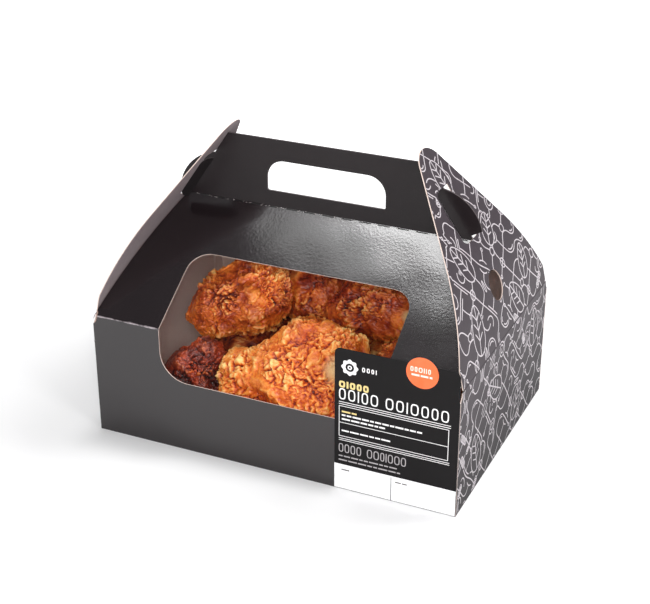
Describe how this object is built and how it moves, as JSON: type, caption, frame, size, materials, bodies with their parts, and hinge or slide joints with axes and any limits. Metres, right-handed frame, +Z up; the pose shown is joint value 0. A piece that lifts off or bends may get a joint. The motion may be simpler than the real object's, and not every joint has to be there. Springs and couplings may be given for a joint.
{
  "type": "carry-out gable box",
  "caption": "Folding paperboard gable box with a film window, a handle whose ears lock into slotted gable ends, a printed label, and fried chicken inside.",
  "frame": {"origin": "middle of the base, on the surface that the box stands on", "axes": "+X along the length, to the right of someone who faces the window; -Y towards the window side; +Z up"},
  "size_m": [0.26, 0.1804, 0.2044],
  "materials": {
    "black_board": "satin black coating outside, unprinted inside, cream cut edges",
    "printed_board": "satin charcoal print with fine pale line drawings",
    "film": "clear thin film",
    "label": "gloss black printed label",
    "sticker": "gloss orange sticker",
    "crust": "craggy golden-brown fried crust"
  },
  "bodies": {
    "tray": {"floor_panel": "black_board", "front_wall": "black_board", "back_wall": "black_board", "left_end_wall": "printed_board", "right_end_wall": "printed_board", "glue_flap_front_left": "black_board", "glue_flap_front_right": "black_board", "glue_flap_back_left": "black_board", "glue_flap_back_right": "black_board", "window_film_lower": "film", "label": "label", "label_sticker": "sticker", "breast_front": "crust", "breast_back": "crust", "thigh_left": "crust", "thigh_right": "crust", "drumstick_top": "crust", "drumstick_back": "crust", "wing_left": "crust", "wing_back": "crust"},
    "front_roof": {"front_roof_panel": "black_board", "window_film_upper": "film"},
    "front_handle": {"front_handle_panel": "black_board"},
    "back_roof": {"back_roof_panel": "black_board"},
    "back_handle": {"back_handle_panel": "black_board"},
    "left_gable": {"left_gable_panel": "printed_board"},
    "right_gable": {"right_gable_panel": "printed_board"},
    "left_tongue": {"left_slot_tongue": "printed_board"},
    "right_tongue": {"right_slot_tongue": "printed_board"}
  },
  "joints": [
    {"name": "left_gable_fold", "type": "hinge", "parent": "tray", "child": "left_gable", "pos_m": [-0.1297, 0, 0.0875], "axis": [0, -1, 0], "range_deg": [0, 120]},
    {"name": "right_gable_fold", "type": "hinge", "parent": "tray", "child": "right_gable", "pos_m": [0.1297, 0, 0.0875], "axis": [0, 1, 0], "range_deg": [0, 120]},
    {"name": "front_roof_fold", "type": "hinge", "parent": "tray", "child": "front_roof", "pos_m": [0, -0.0897, 0.0875], "axis": [1, 0, 0], "range_deg": [0, 50.4]},
    {"name": "back_roof_fold", "type": "hinge", "parent": "tray", "child": "back_roof", "pos_m": [0, 0.0897, 0.0875], "axis": [-1, 0, 0], "range_deg": [0, 50.4]},
    {"name": "front_handle_fold", "type": "hinge", "parent": "front_roof", "child": "front_handle", "pos_m": [0, -0.0005, 0.1482], "axis": [-1, 0, 0], "range_deg": [0, 50.4]},
    {"name": "back_handle_fold", "type": "hinge", "parent": "back_roof", "child": "back_handle", "pos_m": [0, 0.0005, 0.1482], "axis": [1, 0, 0], "range_deg": [0, 50.4]},
    {"name": "right_tongue_fold", "type": "hinge", "parent": "right_gable", "child": "right_tongue", "pos_m": [0.10387, -0.016, 0.14989], "axis": [-0.5635, 0, 0.8261], "range_deg": [-26, 45]},
    {"name": "left_tongue_fold", "type": "hinge", "parent": "left_gable", "child": "left_tongue", "pos_m": [-0.10387, -0.016, 0.14989], "axis": [-0.5635, 0, -0.8261], "range_deg": [-26, 45]}
  ],
  "couplings": [
    {"joint": "right_gable_fold", "follows": "left_gable_fold", "ratio": 1},
    {"joint": "front_roof_fold", "follows": "left_gable_fold", "ratio": 0.42},
    {"joint": "back_roof_fold", "follows": "left_gable_fold", "ratio": 0.42},
    {"joint": "front_handle_fold", "follows": "left_gable_fold", "ratio": 0.42},
    {"joint": "back_handle_fold", "follows": "left_gable_fold", "ratio": 0.42}
  ]
}
